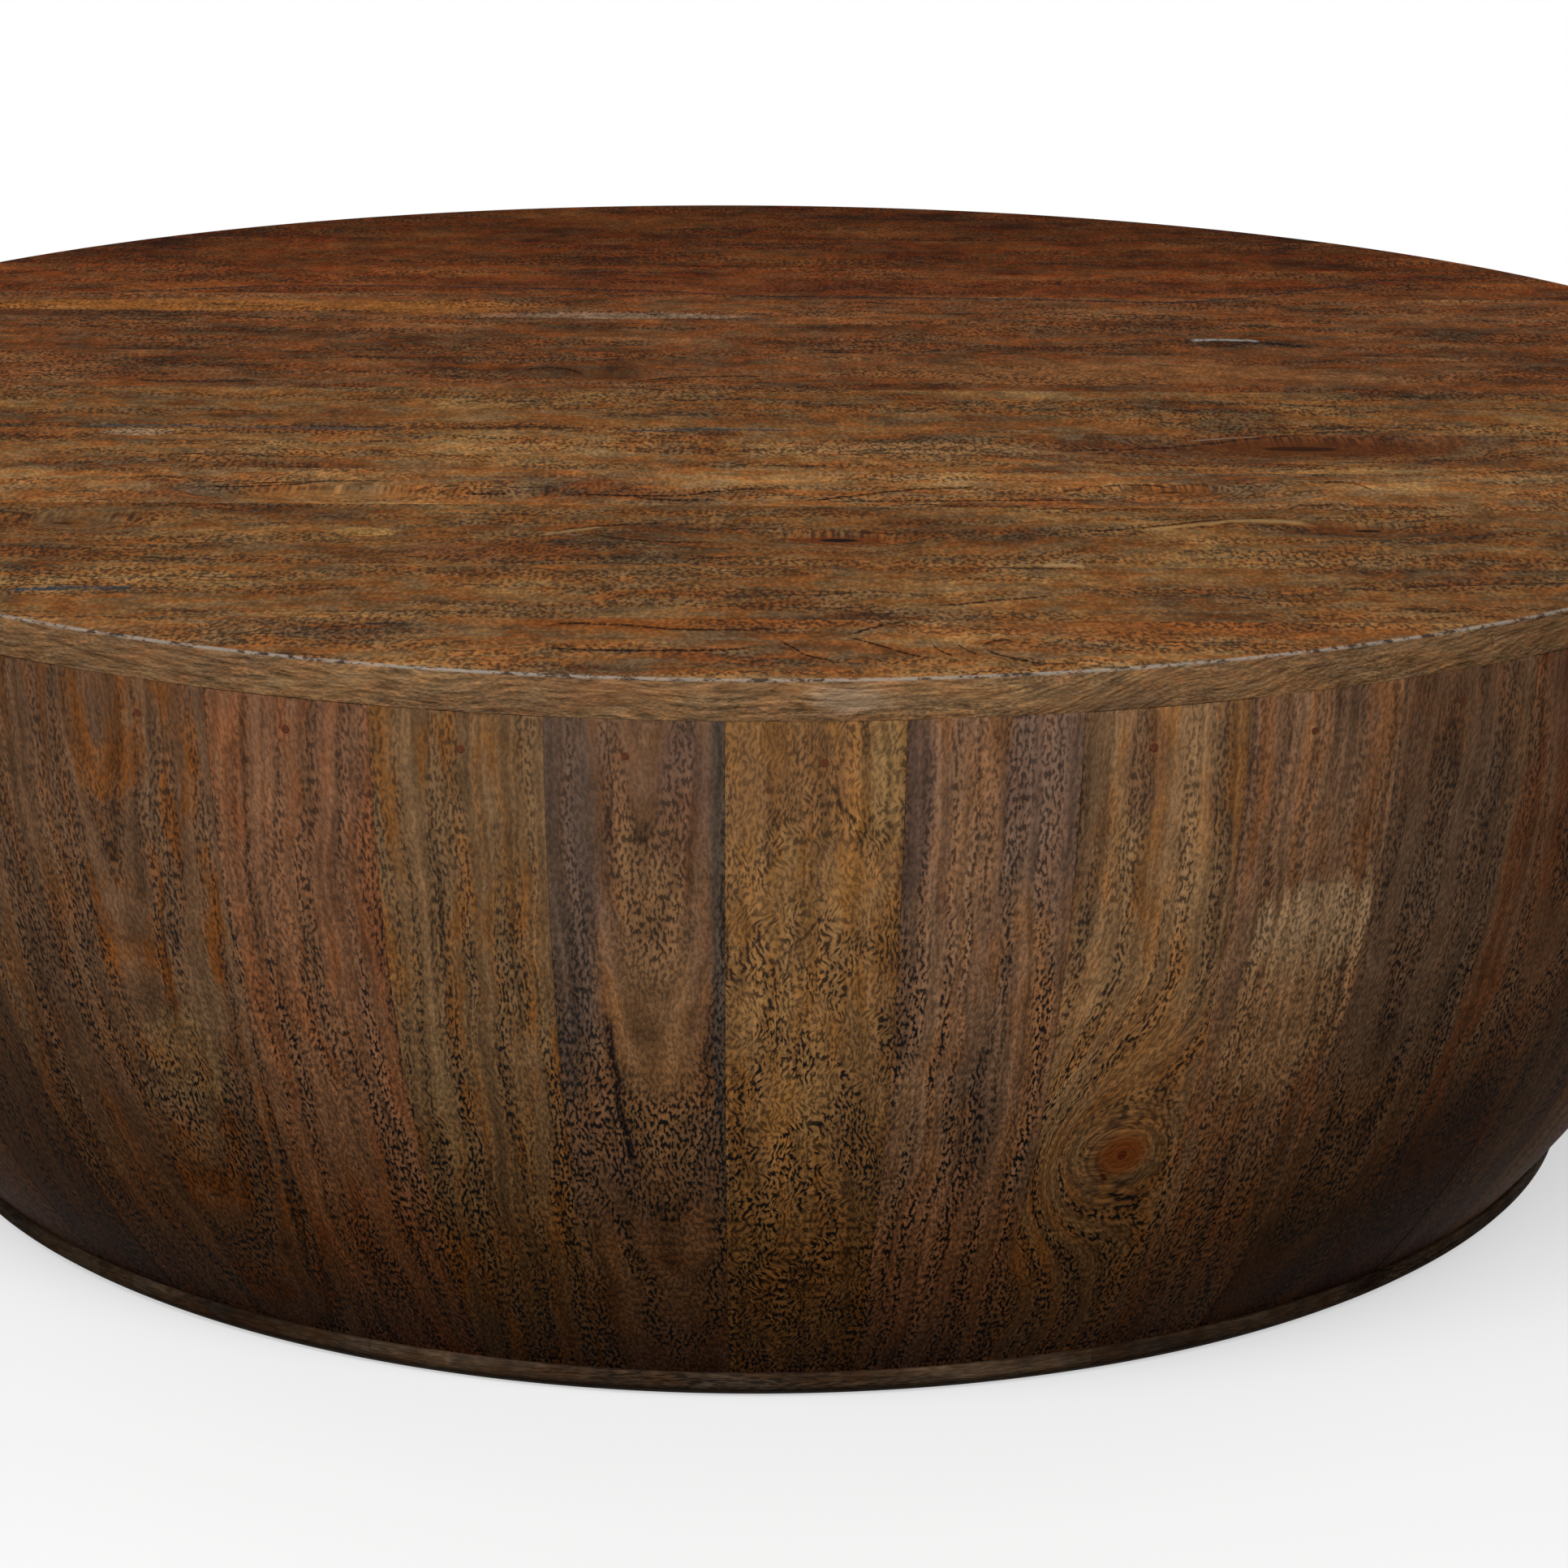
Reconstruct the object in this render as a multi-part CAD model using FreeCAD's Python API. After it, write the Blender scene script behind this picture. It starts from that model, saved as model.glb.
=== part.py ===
"""Round drum table in solid wood: a disc of edge-glued boards on a bowl of coopered staves.

Millimetres, +Z up. The origin is the centre of the footprint on the floor, and the front of the
table looks along -Y. Azimuths are in degrees, 0 at the front and growing towards +X.
"""
import FreeCAD, Part
import math
import os
from FreeCAD import Vector

# Overall size
table_diameter = 1220.0
table_height = 404.0

# Top: boards that run from left to right, glued edge to edge and cut to a disc
top_thickness = 19.0
top_arris = 1.5
board_seam_shares = (-0.831, -0.666, -0.464, -0.334, -0.179, 0.0, 0.167, 0.311, 0.459, 0.615, 0.779)

# Staves: the radii are taken at the middle of a stave, under the top and above the foot band
stave_count = 48
stave_thickness = 19.0
stave_top_inset = 1.5
stave_foot_radius = 463.0
stave_bulge = 31.8
first_seam_azimuth = -1.0
glue_line = 0.1

# Foot band: short straight-grained pieces, let into the foot of the staves
band_height = 13.5
band_thickness = 11.0
band_proud = 3.0
band_bevel_height = 7.5
band_bevel_depth = 8.0

# Clearance of the rings, the foot band and the battens in what they fit
fit_clearance = 0.3

# Rings inside the shell: each segment is sawn from a straight board, so its inner edge is straight
# and it is as wide as stated at its middle
segment_count = 8
top_ring_height = 34.0
top_ring_width = 72.0
base_ring_height = 22.0
base_ring_width = 58.0

# Battens under the top, across its boards
batten_width = 60.0
batten_thickness = 22.0
batten_spacing = 440.0

# Waste allowance of the cutting tools, beyond the wood that they cut
overrun = 5.0

top_radius = table_diameter / 2
top_underside = table_height - top_thickness
stave_top_radius = top_radius - stave_top_inset
stave_pitch = 360.0 / stave_count
staves_per_segment = stave_count // segment_count
band_back_radius = stave_foot_radius + band_proud - band_thickness


def polar(radius, azimuth, z=0.0):
    """Point at a radius and an azimuth."""
    angle = math.radians(azimuth)
    return Vector(radius * math.sin(angle), -radius * math.cos(angle), z)


def turned(shape, azimuth):
    """Copy of a shape that was drawn along +X, turned to face an azimuth."""
    copy = shape.copy()
    copy.rotate(Vector(0, 0, 0), Vector(0, 0, 1), azimuth - 90)
    return copy


def wedge(width_angle, gap):
    """Tall wedge along +X between two seams, with half of the gap taken off each side."""
    half = math.radians(width_angle / 2)
    reach = table_diameter
    start = gap / 2 / math.sin(half)
    side = reach * math.tan(half)
    corners = [(start, 0), (start + reach, -side), (start + reach, side), (start, 0)]
    outline = Part.makePolygon([Vector(x, y, -overrun) for x, y in corners])
    return Part.Face(outline).extrude(Vector(0, 0, table_height + 2 * overrun))


def curve_of_stave():
    """Centre and radius of the arc through a stave's top and foot that bulges by stave_bulge."""
    run = stave_top_radius - stave_foot_radius
    rise = top_underside - band_height
    chord = math.hypot(run, rise)
    radius = chord**2 / (8 * stave_bulge) + stave_bulge / 2
    inward = radius - stave_bulge
    centre_r = (stave_top_radius + stave_foot_radius) / 2 - inward * rise / chord
    centre_z = (top_underside + band_height) / 2 + inward * run / chord
    return centre_r, centre_z, radius


curve_r, curve_z, outer_curve = curve_of_stave()
inner_curve = outer_curve - stave_thickness


def radius_at(curve, z):
    """Radius of the shell at a height, on its outer or inner curve."""
    return curve_r + math.sqrt(curve**2 - (z - curve_z) ** 2)


def arc(curve, low, high):
    """Edge along the outer or inner curve, in the XZ plane."""
    heights = (low, (low + high) / 2, high)
    points = [Vector(radius_at(curve, z), 0, z) for z in heights]
    return Part.Arc(*points).toShape()


def lines(points):
    """Straight edges through (radius, height) points, in the XZ plane."""
    ends = [Vector(r, 0, z) for r, z in points]
    return [Part.makeLine(a, b) for a, b in zip(ends, ends[1:])]


def extruded(edges, width):
    """Solid with a closed outline in the XZ plane, as wide as asked and centred on Y = 0."""
    face = Part.Face(Part.Wire(Part.__sortEdges__(edges)))
    face.translate(Vector(0, -width / 2, 0))
    return face.extrude(Vector(0, width, 0))


def make_stave():
    """One stave along +X: sawn to the curve, rebated for the foot band, with its edges mitred."""
    rebate_radius = band_back_radius - fit_clearance
    inner_foot = radius_at(inner_curve, 0)
    inner_top = radius_at(inner_curve, top_underside)
    foot = [(inner_foot, 0), (rebate_radius, 0), (rebate_radius, band_height), (stave_foot_radius, band_height)]
    head = [(stave_top_radius, top_underside), (inner_top, top_underside)]
    edges = lines(foot) + [arc(outer_curve, band_height, top_underside)]
    edges += lines(head) + [arc(inner_curve, 0, top_underside)]
    blank_width = 2 * top_radius * math.tan(math.radians(stave_pitch / 2)) + overrun
    return extruded(edges, blank_width).common(wedge(stave_pitch, glue_line))


def many_sided(edges):
    """One segment of a ring along +X: a profile carried over the flats of its staves, mitred at each."""
    blank = extruded(edges, stave_foot_radius).common(wedge(stave_pitch, 0))
    middle = (staves_per_segment - 1) / 2
    flats = [turned(blank, 90 + (i - middle) * stave_pitch) for i in range(staves_per_segment)]
    whole = flats[0].multiFuse(flats[1:]).removeSplitter()
    return whole.common(wedge(360.0 / segment_count, glue_line))


def ring_segment(low, high, width):
    """Ring segment that beds on the inner flats of its staves, with a straight inner edge."""
    inner_edge = min(radius_at(inner_curve, low), radius_at(inner_curve, high)) - width
    start = inner_edge * math.cos(math.pi / segment_count) ** 2
    foot, head = radius_at(inner_curve, low) - fit_clearance, radius_at(inner_curve, high) - fit_clearance
    profile = lines([(start, low), (foot, low), (head, high), (start, high), (start, low)])
    reach = table_diameter
    keep = Part.makeBox(reach, reach, table_height, Vector(inner_edge, -reach / 2, 0))
    return many_sided(profile).common(keep), inner_edge


def band_segment():
    """Foot band segment: upright face, bevelled under towards the floor."""
    face_radius = stave_foot_radius + band_proud
    return many_sided(
        lines(
            [
                (band_back_radius, 0),
                (face_radius - band_bevel_depth, 0),
                (face_radius, band_bevel_height),
                (face_radius, band_height),
                (band_back_radius, band_height),
                (band_back_radius, 0),
            ]
        )
    )


def ring_of(segment, first_azimuth):
    """All segments of a ring, the first one starting at an azimuth."""
    pitch = 360.0 / segment_count
    return Part.makeCompound([turned(segment, first_azimuth + (i + 0.5) * pitch) for i in range(segment_count)])


def make_top():
    """Boards of the top, each a slice of one disc with its arrises eased."""
    disc = Part.makeCylinder(top_radius, top_thickness, Vector(0, 0, top_underside))
    rim = [e for e in disc.Edges if e.Closed and e.BoundBox.ZMin > top_underside]
    disc = disc.makeChamfer(top_arris, rim)
    ends = [-top_radius - overrun] + [share * top_radius for share in board_seam_shares] + [top_radius + overrun]
    boards = []
    for front, back in zip(ends, ends[1:]):
        corner = Vector(-top_radius - overrun, front + glue_line / 2, top_underside - overrun)
        size = (table_diameter + 2 * overrun, back - front - glue_line, top_thickness + 2 * overrun)
        boards.append(disc.common(Part.makeBox(*size, corner)))
    return Part.makeCompound(boards)


def make_batten(x, room):
    """Batten across the boards, with its ends cut to the straight inner edges of the top ring."""
    corner = Vector(x - batten_width / 2, -top_radius, top_underside - batten_thickness)
    return Part.makeBox(batten_width, table_diameter, batten_thickness, corner).common(room)


def room_inside(inner_edge, first_azimuth):
    """Space inside a ring, a clearance away from its straight edges."""
    corner_radius = (inner_edge - fit_clearance) / math.cos(math.pi / segment_count)
    pitch = 360.0 / segment_count
    corners = [polar(corner_radius, first_azimuth + i * pitch) for i in range(segment_count + 1)]
    return Part.Face(Part.makePolygon(corners)).extrude(Vector(0, 0, table_height))


def write(name, shape):
    """Save one node of the table."""
    shape.exportStep("parts/" + name + ".step")


os.makedirs("parts", exist_ok=True)

stave = make_stave()
for i in range(stave_count):
    write("stave_%02d" % (i + 1), turned(stave, first_seam_azimuth + (i + 0.5) * stave_pitch))

# Joints between segments fall on stave seams, and the band's fall midway between the rings'
ring_joint_azimuth = first_seam_azimuth
band_joint_azimuth = first_seam_azimuth - staves_per_segment // 2 * stave_pitch

write("foot_band", ring_of(band_segment(), band_joint_azimuth))

base_segment, base_edge = ring_segment(0.0, base_ring_height, base_ring_width)
write("base_ring", ring_of(base_segment, ring_joint_azimuth))

top_segment, top_edge = ring_segment(top_underside - top_ring_height, top_underside, top_ring_width)
write("top_ring", ring_of(top_segment, ring_joint_azimuth))

room = room_inside(top_edge, ring_joint_azimuth)
write("batten_left", make_batten(-batten_spacing / 2, room))
write("batten_right", make_batten(batten_spacing / 2, room))

write("top_boards", make_top())
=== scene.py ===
import math
import random

import bpy
from mathutils import Matrix, Vector


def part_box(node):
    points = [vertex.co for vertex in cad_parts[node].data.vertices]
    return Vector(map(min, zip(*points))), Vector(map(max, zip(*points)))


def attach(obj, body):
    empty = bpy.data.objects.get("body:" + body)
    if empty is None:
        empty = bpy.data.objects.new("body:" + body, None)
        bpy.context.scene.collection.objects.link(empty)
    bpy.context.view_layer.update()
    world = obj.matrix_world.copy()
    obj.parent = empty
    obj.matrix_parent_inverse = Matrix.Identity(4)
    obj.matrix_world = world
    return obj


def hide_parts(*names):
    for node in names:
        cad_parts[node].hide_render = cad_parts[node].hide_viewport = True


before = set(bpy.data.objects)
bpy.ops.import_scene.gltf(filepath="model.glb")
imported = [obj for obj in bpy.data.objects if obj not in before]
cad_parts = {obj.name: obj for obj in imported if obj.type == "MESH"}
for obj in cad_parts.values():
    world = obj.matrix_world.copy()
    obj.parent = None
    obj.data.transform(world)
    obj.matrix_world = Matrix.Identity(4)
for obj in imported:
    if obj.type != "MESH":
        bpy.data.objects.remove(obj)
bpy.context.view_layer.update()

# Camera: a long lens a little above the table's rim, tilted up from the foot's centre so that the
# body fills the frame. Angles and distance come from a fit of both rim edges and the stave seams.
CAMERA_DISTANCE = 2.7423
CAMERA_ELEVATION = 20.147
CAMERA_PAN = 0.427
CAMERA_TILT = 3.49
CAMERA_ROLL = 0.282
SENSOR_WIDTH = 36.0
LENS = 107.85


def add(name, data):
    """New object of the scene, from its mesh, lens or lamp."""
    made = bpy.data.objects.new(name, data)
    bpy.context.scene.collection.objects.link(made)
    return made


camera_data = bpy.data.cameras.new("camera")
camera_data.sensor_width = SENSOR_WIDTH
camera_data.lens = LENS
camera = add("camera", camera_data)
elevation = math.radians(CAMERA_ELEVATION)
camera.matrix_world = (
    Matrix.Translation((0, -CAMERA_DISTANCE * math.cos(elevation), CAMERA_DISTANCE * math.sin(elevation)))
    @ Matrix.Rotation(math.pi / 2 - elevation, 4, "X")
    @ Matrix.Rotation(math.radians(-CAMERA_PAN), 4, "Y")
    @ Matrix.Rotation(math.radians(CAMERA_TILT), 4, "X")
    @ Matrix.Rotation(math.radians(CAMERA_ROLL), 4, "Z")
)
bpy.context.scene.camera = camera


# Top boards: twelve planks of brown stained hardwood, glued edge to edge and turned to a disc. The
# grain runs from left to right, and flows round the knots. The upper arris is painted pale, partly
# as wear by use and partly as a painted highlight along it.
class Socket:
    """A value in a node tree, so that sums on it are written as Python."""

    tree = None

    def __init__(self, link):
        self.link = link

    @classmethod
    def node(cls, kind, values=None, out=0, **settings):
        """Output of a new node. Its settings are made first, then the values or links of its inputs."""
        made = cls.tree.nodes.new(kind)
        for name, setting in settings.items():
            if name == "curve":
                line = made.mapping.curves[0]
                line.points[0].location = setting[0]
                line.points[-1].location = setting[-1]
                for place in setting[1:-1]:
                    line.points.new(*place)
                made.mapping.update()
            else:
                setattr(made, name, setting)
        for key, value in (values or {}).items():
            if isinstance(value, Socket):
                cls.tree.links.new(value.link, made.inputs[key])
            else:
                made.inputs[key].default_value = value
        return cls(made.outputs[out])

    def maths(self, operation, *others):
        return Socket.node("ShaderNodeMath", dict(enumerate((self, *others))), operation=operation)

    def __add__(self, other):
        return self.maths("ADD", other)

    __radd__ = __add__

    def __sub__(self, other):
        return self.maths("SUBTRACT", other)

    def __rsub__(self, other):
        return self.maths("MULTIPLY_ADD", -1.0, other)

    def __mul__(self, other):
        return self.maths("MULTIPLY", other)

    __rmul__ = __mul__

    def __truediv__(self, other):
        return self.maths("DIVIDE", other)

    def __neg__(self):
        return self.maths("MULTIPLY", -1.0)

    def __abs__(self):
        return self.maths("ABSOLUTE")

    def __pow__(self, power):
        return self.maths("POWER", power)

    def step(self, low, high):
        """Rises smoothly from 0 to 1 as this value goes from low to high."""
        values = {0: self, 1: low, 2: high, 3: 0.0, 4: 1.0}
        return Socket.node("ShaderNodeMapRange", values, interpolation_type="SMOOTHSTEP")

    def apart(self):
        """The three numbers of a vector."""
        parts = Socket.node("ShaderNodeSeparateXYZ", {0: self}).link.node.outputs
        return [Socket(part) for part in parts]


def point(x, y, z):
    return Socket.node("ShaderNodeCombineXYZ", {0: x, 1: y, 2: z})


def noise(x, y, z, detail=1.0, roughness=0.5):
    values = {"Vector": point(x, y, z), "Scale": 1.0, "Detail": detail, "Roughness": roughness}
    return Socket.node("ShaderNodeTexNoise", values)


def tint(code):
    """Scene colour of a screen colour written as six hex digits."""
    parts = [int(code[i : i + 2], 16) / 255 for i in (0, 2, 4)]
    return [((c + 0.055) / 1.055) ** 2.4 if c > 0.04045 else c / 12.92 for c in parts] + [1.0]


TONES = ("dark", "body", "light", "warm", "grey")


def stain_tones(codes):
    """Tones of a stain by name: of the dark, middle and light zones, then of warm and grey streaks."""
    return {name: tint(code) for name, code in zip(TONES, codes.split())}


def mix(first, second, share):
    return Socket.node("ShaderNodeMix", {"Factor": share, 6: first, 7: second}, out=2, data_type="RGBA")


def shade(colour, factor):
    return Socket.node("ShaderNodeVectorMath", {0: colour, "Scale": factor}, operation="SCALE")


def hill(across, along, at, size):
    """1 at a place on the plank, falling off smoothly over its sizes across and along the grain."""
    u = (across - at[0]) / size[0]
    v = (along - at[1]) / size[1]
    return (-(u * u + v * v)).maths("EXPONENT")


def new_material(name):
    """Empty material, whose tree is the one that new nodes go to."""
    material = bpy.data.materials.new(name)
    material.use_nodes = True
    material.node_tree.nodes.clear()
    Socket.tree = material.node_tree
    return material


def finish_material(surface):
    output = Socket.tree.nodes.new("ShaderNodeOutputMaterial")
    Socket.tree.links.new(surface.link, output.inputs["Surface"])


def grain_fields(across, depth, along, look):
    """Two fields whose level lines follow the grain: of the fibres, and of the growth rings.

    Both are distances across the plank, bent by slow noise and swollen round the knots, where the
    rings close. Near the heart of the tree they close over its pith in arches.
    """
    seed = look["seed"]
    bend = noise(across * 5.0 + seed, depth * 5.0, along * look["sweep"] + seed) - 0.5
    curl = noise(across * 14.0, depth * 14.0 + seed, along * 21.0, 0.6) - 0.5
    ripple = noise(across * 100.0, depth * 100.0 + seed, along * 100.0, 0.0) - 0.5
    warp = depth * look["slope"] + bend * look["bend"] + curl * look["curl"] + ripple * look["ripple"]
    rings = across
    if "pith" in look:
        aside, end, taper = look["pith"]
        rings = ((across - aside) ** 2.0 + ((along - end) * taper) ** 2.0) ** 0.5
    for knot in look["knots"]:
        (aside, end), (wide, long) = knot["at"], knot["swell"]
        warp = warp + hill(across, along, knot["at"], knot["swell"]) * knot["lift"]
        beside = across - aside
        eye = (beside * beside + ((along - end) * (wide / long)) ** 2.0) ** 0.5
        closed = hill(across, along, knot["at"], (wide * 1.5, long * 1.5)) * (eye - beside)
        rings = rings + closed
        warp = warp + closed * knot["whorl"]
    return across + warp, rings + warp


STROKE_MARGIN = 0.001
STROKE_WAVER = 0.005


def figured_wood(across, depth, along, look):
    """Colour and relief of stained hardwood at a place in its plank, in metres.

    Each noise is stretched along the grain: it takes turns per metre across the rings, through the
    plank and along it. Zones, hues and clouds are broad, and lines, dashes and grit are fine. The
    dashes are the open pores, which crowd in some rings. A vein is a level line of slow noise.
    """
    seed = look["seed"]
    fibres, rings = grain_fields(across, depth, along, look)
    side = depth + across * 0.12
    zone = noise(rings * look["zones"] + seed, side * 7.0, along * look["zone_run"] - seed, 2.0, 0.55)
    hue = noise(rings * 75.0 - seed, side * 60.0, along * look["zone_run"] * 3.0 + seed, 3.0, 0.72)
    cloud = noise(rings * 70.0 - seed, side * 60.0, along * look["cloud_run"], 2.5, 0.6)
    line = noise(rings * 280.0, side * 500.0, along * look["line_run"] + seed, 1.5, 0.55)
    crowd = noise(rings * look["crowds"] + 9.0, side * 16.0, along * look["crowd_run"] - seed)
    dash = noise(fibres * look["dashes"], depth * 700.0, along * look["dash_run"])
    grit = noise(fibres * 900.0, depth * 1500.0, along * 900.0 + seed, 0.0)

    colour = mix(look["body"], look["dark"], zone.step(0.52, 0.3) * look["zoning"])
    colour = mix(colour, look["light"], zone.step(0.5, 0.75) * look["zoning"])
    colour = mix(colour, look["warm"], hue.step(0.47, 0.64) * look["warmth"])
    colour = mix(colour, look["grey"], hue.step(0.53, 0.36) * look["greyness"])
    for patch in look["patches"]:
        spread = hill(across, along, patch["at"], patch["size"])
        spread = (spread + (line - 0.5) * 0.5 + (crowd - 0.5) * 0.5).step(0.3, 0.6)
        colour = mix(colour, tint(patch["tint"]), spread * patch["strength"])

    uneven = (line - 0.5) * look["lines"] + (cloud - 0.5) * look["clouds"] + (grit - 0.5) * look["grit"]
    colour = shade(colour, (1.0 + uneven) * look["tone"])
    furrow = dash.step(0.53, 0.4) * (1.0 - crowd.step(0.6, 0.42) * look["crowding"])
    colour = mix(colour, look["pore"], furrow * look["pores"])
    colour = shade(colour, 1.0 + dash.step(0.5, 0.75) * look["fibres"])
    for flame in look["flames"]:
        lick = noise(fibres * 40.0 + seed, depth * 40.0, along * 230.0, 1.5).step(0.52, 0.36)
        lick = lick * hill(across, along, flame["at"], flame["size"]) * flame["strength"]
        colour = mix(colour, tint(flame["tint"]), lick)
    vein = noise(rings * look["vein_run"] - seed, side * 14.0, along * 3.4 + seed, 2.0, 0.5)
    vein = abs(vein - 0.5).step(0.013, 0.003) * crowd.step(0.46, 0.62)
    colour = mix(colour, look["pore"], vein * look["veins"])
    relief = dash.step(0.35, 0.6) - vein * look["veins"]

    for knot in look["knots"]:
        (aside, end), (wide, long) = knot["at"], knot["halo"]
        eye = ((across - aside) ** 2.0 + ((along - end) * (wide / long)) ** 2.0) ** 0.5
        growth = noise(eye * 430.0 + seed, across * 30.0, along * 30.0).step(0.56, 0.38)
        growth = growth * hill(across, along, knot["at"], [reach * 1.3 for reach in knot["swell"]])
        colour = mix(colour, look["pore"], growth * knot["halo_strength"] * 0.8)
        halo = hill(across, along, knot["at"], knot["halo"]) * (0.6 + line * 0.8)
        colour = mix(colour, tint(knot["halo_tint"]), halo.step(0.2, 0.8) * knot["halo_strength"])
        core = hill(across, along, knot["at"], knot["core"]) * (0.5 + line)
        colour = mix(colour, tint(knot["tint"]), core.step(0.35, 0.6))
    for code, width, strength, places in look["strokes"]:
        start, end = places[0][0], places[-1][0]
        low = min(y for x, y in places) - STROKE_MARGIN
        high = max(y for x, y in places) + STROKE_MARGIN
        route = [((x - start) / (end - start), (y - low) / (high - low)) for x, y in places]
        share = (along - start) / (end - start)
        course = Socket.node("ShaderNodeFloatCurve", {"Value": share}, curve=route) * (high - low) + low
        off = abs(across - course + (cloud - 0.5) * STROKE_WAVER)
        drawn = (off / (width * (cloud + 0.4))).step(1.0, 0.15)
        drawn = drawn * abs(share - 0.5).step(0.5, 0.38) * strength
        colour = mix(colour, tint(code), drawn * (1.3 - dash).step(0.45, 0.85))
        relief = relief - drawn
    return colour, relief


PORE_DEPTH = 0.00012


def satin(colour, relief, roughness=0.5, gloss=0.003):
    """Thin rubbed-in lacquer, which leaves the pores open and a little rougher than the rest."""
    values = {
        "Base Color": colour,
        "Roughness": roughness - relief * 0.08,
        "Specular IOR Level": gloss,
        "Normal": Socket.node("ShaderNodeBump", {"Height": relief, "Distance": PORE_DEPTH}),
    }
    return Socket.node("ShaderNodeBsdfPrincipled", values)


def place_on_object():
    return Socket.node("ShaderNodeTexCoord", out=3).apart()


TOP_LOW, TOP_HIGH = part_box("top_boards")
TOP_RADIUS = TOP_HIGH.x
TOP_ROUND = 0.0014
TOP_UNDER_ROUND = 0.00015
BOARD_SEAM_SHARES = (-0.831, -0.666, -0.464, -0.334, -0.179, 0.0, 0.167, 0.311, 0.459, 0.615, 0.779)
BOARD_GAP = 0.00004
RIM_STEP = math.radians(0.75)
ROUND_STEPS = 5
FLAT_STRIP = 0.002
POLE = 0.9999999
SHARP = 35.0


def loft(name, loops):
    """Closed mesh through equal loops of points, capped at both ends, with its faces outwards."""
    count = len(loops[0])
    faces = []
    for row in range(len(loops) - 1):
        for i in range(count):
            a, b = row * count + i, row * count + (i + 1) % count
            faces.append((a, b, b + count, a + count))
    faces.append(tuple(reversed(range(count))))
    faces.append(tuple(range((len(loops) - 1) * count, len(loops) * count)))
    mesh = bpy.data.meshes.new(name)
    mesh.from_pydata([tuple(p) for loop in loops for p in loop], [], faces)
    mesh.validate()
    mesh.shade_smooth()
    mesh.set_sharp_from_angle(angle=math.radians(SHARP))
    return add(name, mesh)


def board_outline(front, back, radius, steps):
    """Plan outline of a board, anticlockwise: its right end on the rim, then its left end."""
    low, high = [math.asin(max(-POLE, min(POLE, edge / radius))) for edge in (front, back)]
    turns = [low + (high - low) * i / steps for i in range(steps + 1)]
    right = [(radius * math.cos(turn), radius * math.sin(turn)) for turn in turns]
    return right + [(-x, y) for x, y in reversed(right)]


def rim_levels():
    """(height, inset) pairs up the rim, round both arrises, with a flat strip before each cap."""
    levels = [(TOP_LOW.z, TOP_UNDER_ROUND + FLAT_STRIP)]
    for i in range(ROUND_STEPS):
        turn = math.pi / 2 * i / (ROUND_STEPS - 1)
        rise, inset = 1 - math.cos(turn), 1 - math.sin(turn)
        levels.append((TOP_LOW.z + TOP_UNDER_ROUND * rise, TOP_UNDER_ROUND * inset))
    for i in range(ROUND_STEPS + 1):
        turn = math.pi / 2 * i / ROUND_STEPS
        drop, inset = 1 - math.sin(turn), 1 - math.cos(turn)
        levels.append((TOP_HIGH.z - TOP_ROUND * drop, TOP_ROUND * inset))
    return levels + [(TOP_HIGH.z, TOP_ROUND + FLAT_STRIP)]


BROWN = {
    "tone": 0.98, "sweep": 2.2, "bend": 0.045, "curl": 0.015, "ripple": 0.003, "slope": 2.0,
    "zones": 22.0, "zone_run": 11.0, "zoning": 1.0, "warmth": 0.55, "greyness": 0.5,
    "clouds": 1.5, "cloud_run": 75.0, "lines": 0.6, "line_run": 20.0, "grit": 0.3,
    "dashes": 250.0, "dash_run": 460.0, "pores": 0.7, "fibres": 0.35,
    "crowds": 60.0, "crowd_run": 9.0, "crowding": 0.65, "veins": 0.7, "vein_run": 46.0,
    "pore": tint("261e1b"), "knots": (), "patches": (), "strokes": (), "flames": (),
}


def blot(across, along, wide, long, code, strength):
    """Patch or flame of another tint, at a place on its plank and fading over its width and length."""
    return {"at": (across, along), "size": (wide, long), "tint": code, "strength": strength}


def knot_mark(at, swell, lift, halo, halo_tint, halo_strength, core, code, whorl=0.0):
    """Knot at a place: how far the grain swells round it and by how much, its halo and its core.

    A whorl of 1 closes the pores' lines round it too, and not the growth rings alone.
    """
    return {"at": at, "swell": swell, "lift": lift, "halo": halo, "halo_tint": halo_tint,
            "halo_strength": halo_strength, "core": core, "tint": code, "whorl": whorl}


TOP_KNOTS = [knot_mark(*row) for row in (
    ((-0.145, 0.29), (0.022, 0.07), 0.026, (0.026, 0.085), "5a3018", 0.75, (0.006, 0.024), "3a2014"),
    ((-0.355, 0.043), (0.012, 0.035), 0.018, (0.009, 0.03), "6a3416", 0.7, (0.0045, 0.012), "241a18"),
    ((-0.329, 0.303), (0.01, 0.028), 0.014, (0.01, 0.024), "643418", 0.6, (0.003, 0.008), "2c1c14"),
    ((-0.328, -0.337), (0.016, 0.034), 0.03, (0.014, 0.03), "5c3418", 0.35, (0.002, 0.006), "3a2416"),
    ((-0.264, -0.207), (0.014, 0.06), 0.022, (0.012, 0.06), "9a6a3a", 0.4, (0.001, 0.004), "4a2e1c"),
    ((-0.248, 0.213), (0.012, 0.036), 0.018, (0.01, 0.034), "6a4020", 0.4, (0.002, 0.008), "3a2416"),
    ((0.037, -0.087), (0.012, 0.03), 0.016, (0.01, 0.026), "6c4020", 0.3, (0.001, 0.003), "3a2416"),
)]
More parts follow.
